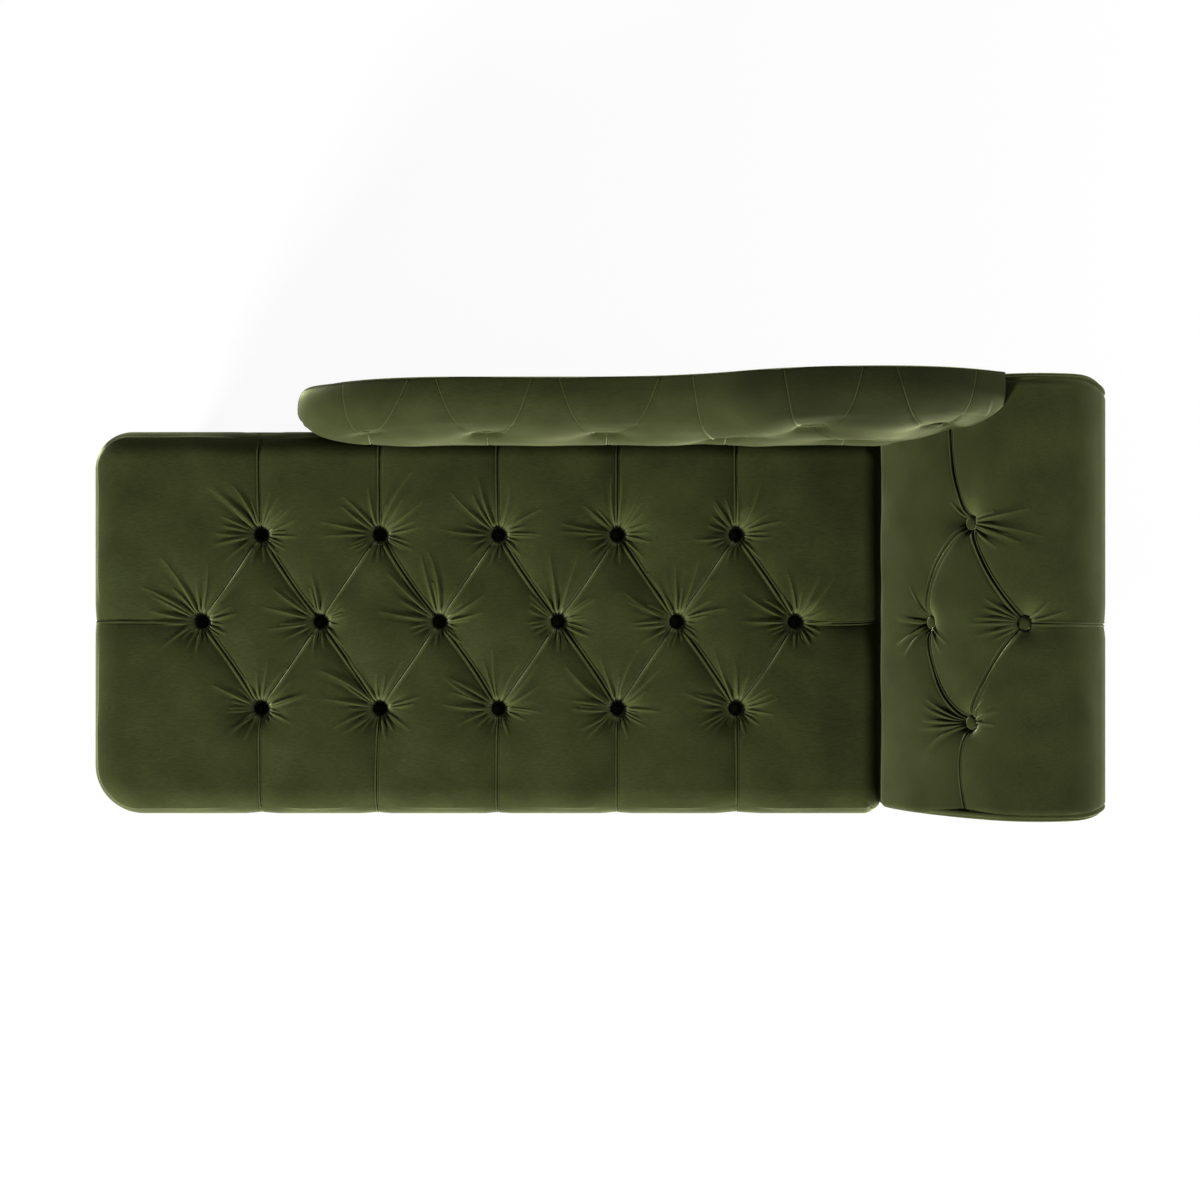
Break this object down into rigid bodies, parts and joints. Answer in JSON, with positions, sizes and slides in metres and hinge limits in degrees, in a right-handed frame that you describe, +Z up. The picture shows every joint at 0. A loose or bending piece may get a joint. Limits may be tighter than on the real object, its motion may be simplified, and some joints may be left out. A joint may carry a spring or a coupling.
{
  "type": "chaise longue",
  "caption": "Chaise longue with a diamond-tufted velvet seat, a scrolled head end and a serpentine half back along one side, on low tapered legs.",
  "frame": {"origin": "on the floor, under the middle of the overall box", "axes": "+X towards the scrolled head end, +Y towards the side with the back, +Z up"},
  "size_m": [1.716, 0.736, 0.845],
  "materials": {
    "velvet": "dark olive-green cut-pile velvet",
    "button_velvet": "dark olive-green velvet over button moulds",
    "leg_wood": "dark stained, satin",
    "frame_wood": "sawn softwood",
    "hardboard": "bare hardboard",
    "foam": "open-cell foam",
    "webbing": "woven elastic webbing",
    "lining_cloth": "black spunbonded cloth",
    "twine": "waxed twine",
    "toggle_plastic": "plain moulded",
    "glide_plastic": "plain moulded",
    "steel": "zinc plated"
  },
  "bodies": {
    "root": {"arm_bolts": "steel", "arm_buttons": "button_velvet", "arm_cover": "velvet", "arm_deck": "hardboard", "arm_front_board": "frame_wood", "arm_front_facing": "velvet", "arm_inner_rail": "frame_wood", "arm_outer_panel": "velvet", "arm_outer_rail": "frame_wood", "arm_rear_board": "frame_wood", "arm_rear_facing": "velvet", "arm_roll_rail": "frame_wood", "arm_slope_rail": "frame_wood", "arm_toggles": "toggle_plastic", "arm_tuck_rail": "frame_wood", "arm_twines": "twine", "back_bolts": "steel", "back_bottom_rail": "frame_wood", "back_buttons": "button_velvet", "back_cover": "velvet", "back_deck": "hardboard", "back_post_1": "frame_wood", "back_post_2": "frame_wood", "back_post_3": "frame_wood", "back_post_4": "frame_wood", "back_rear_panel": "velvet", "back_toggles": "toggle_plastic", "back_top_rail": "frame_wood", "back_twines": "twine", "corner_blocks": "frame_wood", "dust_cover": "lining_cloth", "leg_bolts": "steel", "leg_foot_front": "leg_wood", "leg_foot_rear": "leg_wood", "leg_glides": "glide_plastic", "leg_head_front": "leg_wood", "leg_head_rear": "leg_wood", "seat_border": "velvet", "seat_buttons": "button_velvet", "seat_cover": "velvet", "seat_cross_rail_1": "frame_wood", "seat_cross_rail_2": "frame_wood", "seat_foam": "foam", "seat_foot_rail": "frame_wood", "seat_front_rail": "frame_wood", "seat_head_rail": "frame_wood", "seat_insulator": "lining_cloth", "seat_rear_rail": "frame_wood", "seat_toggles": "toggle_plastic", "seat_twines": "twine", "seat_webbing": "webbing"}
  },
  "joints": []
}
